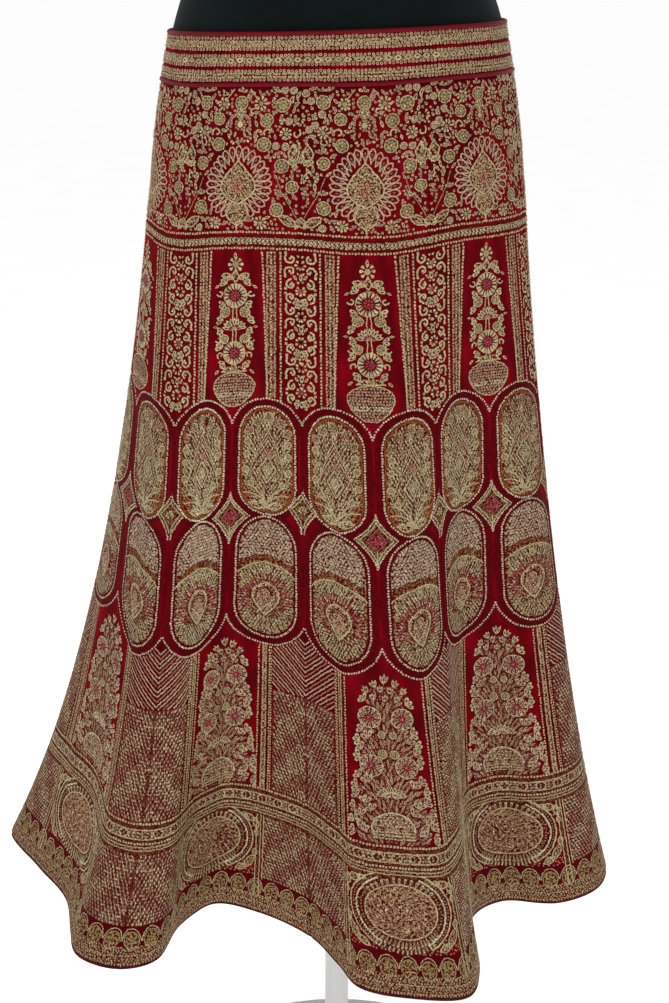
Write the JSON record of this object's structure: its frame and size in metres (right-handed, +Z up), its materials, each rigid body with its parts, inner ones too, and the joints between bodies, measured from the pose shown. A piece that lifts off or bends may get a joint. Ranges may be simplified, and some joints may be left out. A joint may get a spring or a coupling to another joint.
{
  "type": "lehenga skirt on a dress form",
  "caption": "Floor-length flared lehenga skirt of shaped velvet panels with a stiff waistband, standing on a plain limbless dress form.",
  "frame": {"origin": "centre of the stand base's flat underside, on the floor", "axes": "+Z up along the pole, -Y towards the skirt's front, +X towards the right of the front view"},
  "size_m": [0.6706, 0.5376, 1.7663],
  "materials": {
    "velvet": "cut pile velvet",
    "zari_band": "dense metal thread embroidery on velvet",
    "piping": "satin covered cord",
    "binding": "matt bias tape",
    "form_jersey": "matt jersey cover",
    "form_cap": "matt",
    "stand_paint": "powder coat"
  },
  "bodies": {
    "root": {"kali_1": "velvet", "kali_2": "velvet", "kali_3": "velvet", "kali_4": "velvet", "kali_5": "velvet", "kali_6": "velvet", "kali_7": "velvet", "kali_8": "velvet", "waistband": "zari_band", "piping_upper": "piping", "piping_lower": "piping", "hem_binding": "binding", "form_torso": "form_jersey", "form_neck_cap": "form_cap", "stand_pole": "stand_paint", "stand_collar": "stand_paint", "stand_base": "stand_paint"}
  },
  "joints": []
}
